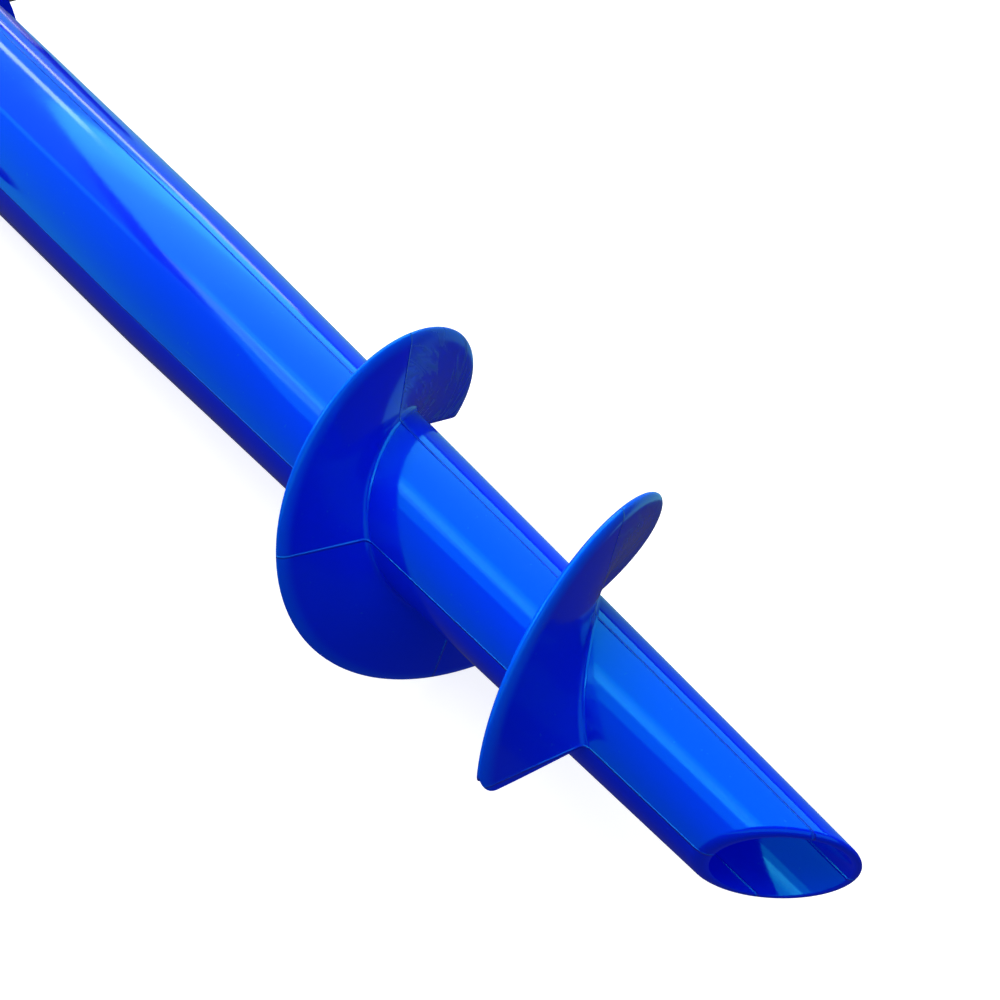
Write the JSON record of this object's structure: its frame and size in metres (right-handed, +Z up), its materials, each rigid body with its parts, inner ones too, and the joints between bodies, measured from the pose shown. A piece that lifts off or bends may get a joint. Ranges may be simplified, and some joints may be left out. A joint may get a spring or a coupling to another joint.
{
  "type": "screw-in flag ground anchor",
  "caption": "Blue plastic screw-in ground anchor for a teardrop flag: hollow tapered tube with helical flight, sliding T-handle and free-turning pole spindle.",
  "frame": {"origin": "on the floor under the middle of the whole length, with the anchor lying on its side on the flight's rim and the hub's flat underside", "axes": "+X along the anchor's axis towards the slanting tip, +Y along the T-handle, +Z up; the axis is 40 mm above the floor"},
  "size_m": [0.7364, 0.3066, 0.0965],
  "materials": {
    "moulded_blue": "glossy injection-moulded blue polypropylene with mould parting lines",
    "moulded_black": "satin black moulded plastic",
    "grip_rubber": "soft matt black rubber",
    "plated_steel": "bright zinc-plated steel",
    "turned_brass": "turned brass"
  },
  "bodies": {
    "anchor": {"auger_body": "moulded_blue", "head_hub": "moulded_blue", "tunnel_bush_left": "moulded_black", "tunnel_bush_right": "moulded_black", "thread_insert": "turned_brass", "bearing_cartridge": "moulded_black", "bearing_cover": "moulded_black", "dust_seal": "grip_rubber", "outer_race_lower": "plated_steel", "outer_race_upper": "plated_steel", "outer_spacer": "plated_steel", "sand_bung": "moulded_black", "hub_screw_1": "plated_steel", "hub_screw_2": "plated_steel", "hub_screw_3": "plated_steel", "hub_screw_4": "plated_steel", "lid_screw_1": "plated_steel", "lid_screw_2": "plated_steel", "lid_screw_3": "plated_steel", "lid_screw_4": "plated_steel"},
    "spindle": {"spindle_shaft": "plated_steel", "retaining_ring": "plated_steel", "rain_skirt": "moulded_black", "o_ring_lower": "grip_rubber", "o_ring_upper": "grip_rubber", "inner_race_lower": "plated_steel", "inner_race_upper": "plated_steel", "inner_spacer": "plated_steel"},
    "ball_set_lower": {"ball_cage_lower": "turned_brass", "ball_lower_1": "plated_steel", "ball_lower_2": "plated_steel", "ball_lower_3": "plated_steel", "ball_lower_4": "plated_steel", "ball_lower_5": "plated_steel", "ball_lower_6": "plated_steel", "ball_lower_7": "plated_steel", "ball_lower_8": "plated_steel"},
    "ball_set_upper": {"ball_cage_upper": "turned_brass", "ball_upper_1": "plated_steel", "ball_upper_2": "plated_steel", "ball_upper_3": "plated_steel", "ball_upper_4": "plated_steel", "ball_upper_5": "plated_steel", "ball_upper_6": "plated_steel", "ball_upper_7": "plated_steel", "ball_upper_8": "plated_steel"},
    "handle": {"handle_bar": "plated_steel", "grip_left": "grip_rubber", "grip_right": "grip_rubber", "bar_cap_left": "moulded_black", "bar_cap_right": "moulded_black"},
    "clamp_foot": {"clamp_pad": "turned_brass"},
    "clamp": {"clamp_screw": "plated_steel", "clamp_knob": "moulded_black"}
  },
  "joints": [
    {"name": "spindle_spin", "type": "hinge", "parent": "anchor", "child": "spindle", "pos_m": [-0.2182, 0, 0.04], "axis": [-1, 0, 0], "continuous": true},
    {"name": "lower_balls_orbit", "type": "hinge", "parent": "anchor", "child": "ball_set_lower", "pos_m": [-0.1901, 0, 0.04], "axis": [-1, 0, 0], "continuous": true},
    {"name": "upper_balls_orbit", "type": "hinge", "parent": "anchor", "child": "ball_set_upper", "pos_m": [-0.2107, 0, 0.04], "axis": [-1, 0, 0], "continuous": true},
    {"name": "handle_slide", "type": "slide", "parent": "anchor", "child": "handle", "axis": [0, 1, 0], "range_m": [-0.041, 0.041]},
    {"name": "clamp_lift", "type": "slide", "parent": "anchor", "child": "clamp_foot", "axis": [0, 0, 1], "range_m": [0, 0.003]},
    {"name": "clamp_turn", "type": "hinge", "parent": "clamp_foot", "child": "clamp", "pos_m": [-0.1588, 0, 0.09], "axis": [0, 0, 1], "range_deg": [0, 864]}
  ],
  "couplings": [
    {"joint": "lower_balls_orbit", "follows": "spindle_spin", "ratio": 0.39776},
    {"joint": "upper_balls_orbit", "follows": "spindle_spin", "ratio": 0.39776},
    {"joint": "clamp_turn", "follows": "clamp_lift", "rad_per_m": 5026.5}
  ]
}
